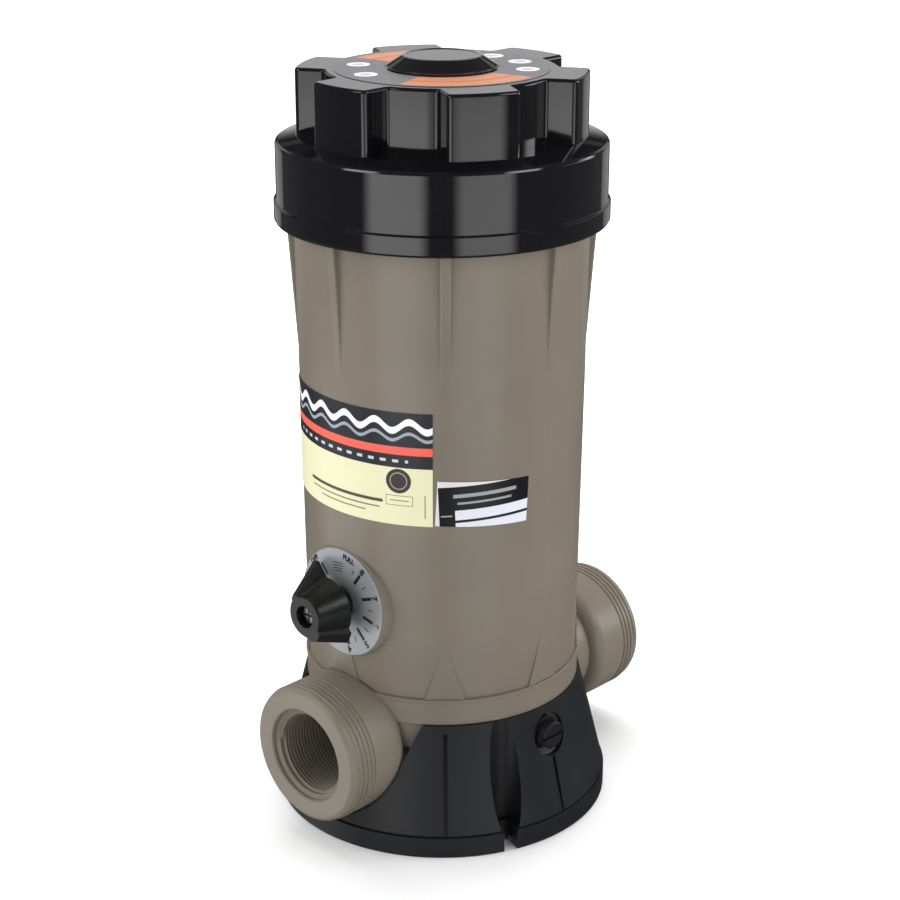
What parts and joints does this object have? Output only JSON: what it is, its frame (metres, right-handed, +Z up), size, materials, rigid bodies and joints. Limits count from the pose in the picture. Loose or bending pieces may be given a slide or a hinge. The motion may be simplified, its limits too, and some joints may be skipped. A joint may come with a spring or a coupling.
{
  "type": "inline pool chlorinator",
  "caption": "Upright tablet tank with a screwed lugged lid, a dial valve and a threaded through pipe, on a hollow conical base with a side drain plug.",
  "frame": {"origin": "on the tank's upright axis, in the plane that the base's foot ring stands on", "axes": "+Z up along the tank's axis; the inlet and the dial face -Y, the outlet faces +Y, the drain plug faces +X"},
  "size_m": [0.19, 0.2434, 0.4251],
  "materials": {
    "body_grey": "smooth moulded, warm grey",
    "base_black": "satin moulded black",
    "lid_black": "gloss moulded black",
    "knob_black": "satin moulded black",
    "seal_rubber": "smooth rubber",
    "screw_steel": "stainless",
    "dial_metal": "satin foil with a black scale",
    "inner_plastic": "moulded, pale grey",
    "front_label_print": "printed film in plain bands",
    "rating_label_print": "printed film in plain fields",
    "lid_label_print": "printed film, grey with orange arcs"
  },
  "bodies": {
    "root": {"base": "base_black", "base_screws": "screw_steel", "port_housing": "body_grey", "tank": "body_grey", "valve_bonnet": "inner_plastic", "bonnet_ring": "seal_rubber", "dial_plate": "dial_metal", "feed_tube": "inner_plastic", "tablet_grate": "inner_plastic", "outlet_strainer": "inner_plastic", "flow_restrictor": "inner_plastic", "front_label": "front_label_print", "rating_label": "rating_label_print"},
    "lid_seal": {"lid_seal_ring": "seal_rubber"},
    "lid": {"lid": "lid_black", "lid_centre_cap": "lid_black", "lid_label": "lid_label_print"},
    "valve": {"valve_rotor": "inner_plastic", "rotor_ring_inner": "seal_rubber", "rotor_ring_outer": "seal_rubber", "control_knob": "knob_black", "knob_screw": "screw_steel"},
    "drain_seal": {"drain_ring": "seal_rubber"},
    "drain": {"drain_plug": "base_black"}
  },
  "joints": [
    {"name": "lid_turn", "type": "hinge", "parent": "lid_seal", "child": "lid", "pos_m": [0, 0, 0.38], "axis": [0, 0, 1], "range_deg": [0, 1440]},
    {"name": "lid_lift", "type": "slide", "parent": "root", "child": "lid_seal", "axis": [0, 0, 1], "range_m": [0, 0.048]},
    {"name": "valve_turn", "type": "hinge", "parent": "root", "child": "valve", "pos_m": [0, -0.08, 0.1374], "axis": [0, -1, 0], "range_deg": [0, 308]},
    {"name": "drain_turn", "type": "hinge", "parent": "drain_seal", "child": "drain", "pos_m": [0.08, 0, 0.057], "axis": [1, 0, 0], "range_deg": [0, 2160]},
    {"name": "drain_out", "type": "slide", "parent": "root", "child": "drain_seal", "axis": [1, 0, 0], "range_m": [0, 0.0132]}
  ],
  "couplings": [
    {"joint": "lid_lift", "follows": "lid_turn", "m_per_rad": 0.0019098},
    {"joint": "drain_out", "follows": "drain_turn", "m_per_rad": 0.0003501}
  ]
}
